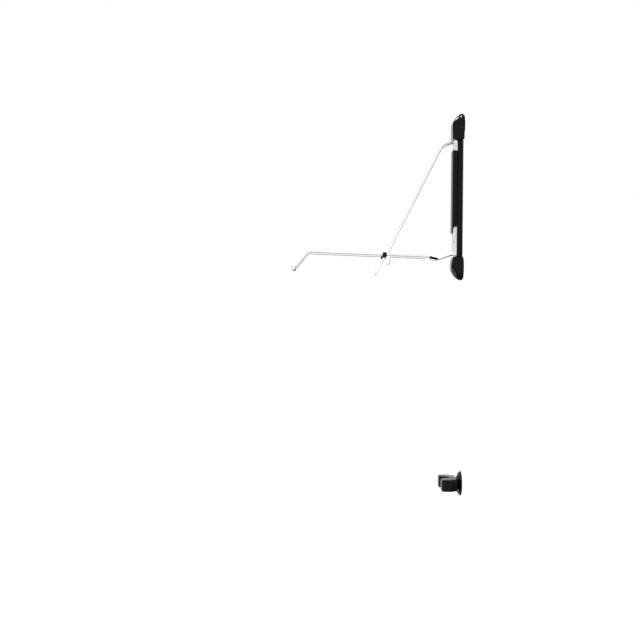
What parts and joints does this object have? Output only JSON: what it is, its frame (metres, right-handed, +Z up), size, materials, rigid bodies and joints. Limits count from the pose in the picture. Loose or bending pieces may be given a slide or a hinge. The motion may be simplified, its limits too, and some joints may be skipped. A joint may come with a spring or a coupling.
{
  "type": "vertical bike stand",
  "caption": "Wall-mounted vertical bike stand: a swivelling rack with a fold-up rod cradle and slanting stays for the front wheel, and a separate tyre rest below.",
  "frame": {"origin": "middle of the upper wall bracket's back face, on the wall plane", "axes": "+Z up along the wall, +X into the wall, so the stand reaches towards -X; +Y to the far side"},
  "size_m": [0.6017, 0.1328, 1.3486],
  "materials": {
    "gloss_moulding": "glossy moulded black",
    "satin_moulding": "satin moulded black",
    "matt_moulding": "fine-textured matt black",
    "black_powder_coat": "satin black powder coat",
    "black_steel": "black oxide steel",
    "zinc_steel": "bright zinc plate",
    "rubber": "matt black rubber",
    "nylon": "dark grey nylon"
  },
  "bodies": {
    "wall_mount": {"upper_wall_bracket": "black_powder_coat", "lower_wall_bracket": "black_powder_coat", "upper_wall_screw_1": "zinc_steel", "upper_wall_screw_2": "zinc_steel", "lower_wall_screw_1": "zinc_steel", "lower_wall_screw_2": "zinc_steel", "upper_wall_washer_1": "zinc_steel", "upper_wall_washer_2": "zinc_steel", "lower_wall_washer_1": "zinc_steel", "lower_wall_washer_2": "zinc_steel", "top_cap": "gloss_moulding", "bottom_cap": "gloss_moulding", "top_cap_screw_near": "black_steel", "top_cap_screw_far": "black_steel", "bottom_cap_screw_near": "black_steel", "bottom_cap_screw_far": "black_steel", "upper_swivel_pin": "zinc_steel", "lower_swivel_pin": "zinc_steel", "tyre_rest_plate": "matt_moulding", "tyre_rest_cradle": "matt_moulding", "tyre_rest_pad": "rubber", "tyre_rest_screw_upper": "zinc_steel", "tyre_rest_screw_lower": "zinc_steel"},
    "rack": {"spine": "black_powder_coat", "upper_swivel_bush": "nylon", "lower_swivel_bush": "nylon", "front_cover": "satin_moulding", "stay_bracket": "zinc_steel", "cradle_bracket": "zinc_steel", "stay_hinge_pin": "zinc_steel", "stay_pin_nut": "zinc_steel", "cradle_hinge_pin": "zinc_steel", "cradle_pin_nut": "zinc_steel", "bracket_cross_pin": "black_steel", "stay_bracket_screw": "zinc_steel", "cradle_bracket_screw_upper": "zinc_steel", "cradle_bracket_screw_lower": "zinc_steel", "cover_screw_upper": "zinc_steel", "cover_screw_lower": "zinc_steel"},
    "wheel_cradle": {"cradle_rod": "zinc_steel", "cradle_hinge_tube": "zinc_steel", "near_rod_sleeve": "rubber", "far_rod_sleeve": "rubber", "rear_hook": "zinc_steel", "near_hook_clip": "matt_moulding", "far_hook_clip": "matt_moulding", "front_hook_sleeve": "rubber"},
    "stays": {"near_stay": "zinc_steel", "far_stay": "zinc_steel", "stay_hinge_tube": "zinc_steel", "near_stay_foot": "zinc_steel", "far_stay_foot": "zinc_steel"}
  },
  "joints": [
    {"name": "rack_swivel", "type": "hinge", "parent": "wall_mount", "child": "rack", "pos_m": [-0.017, 0, 0], "axis": [0, 0, 1], "range_deg": [-65, 65]},
    {"name": "cradle_fold", "type": "hinge", "parent": "rack", "child": "wheel_cradle", "pos_m": [-0.031, 0, -0.4526], "axis": [0, 1, 0], "range_deg": [0, 80]},
    {"name": "stay_fold", "type": "hinge", "parent": "rack", "child": "stays", "pos_m": [-0.031, 0, -0.0575], "axis": [0, 1, 0], "range_deg": [-22.4, 0]}
  ],
  "couplings": [
    {"joint": "stay_fold", "follows": "cradle_fold", "ratio": -0.28}
  ]
}
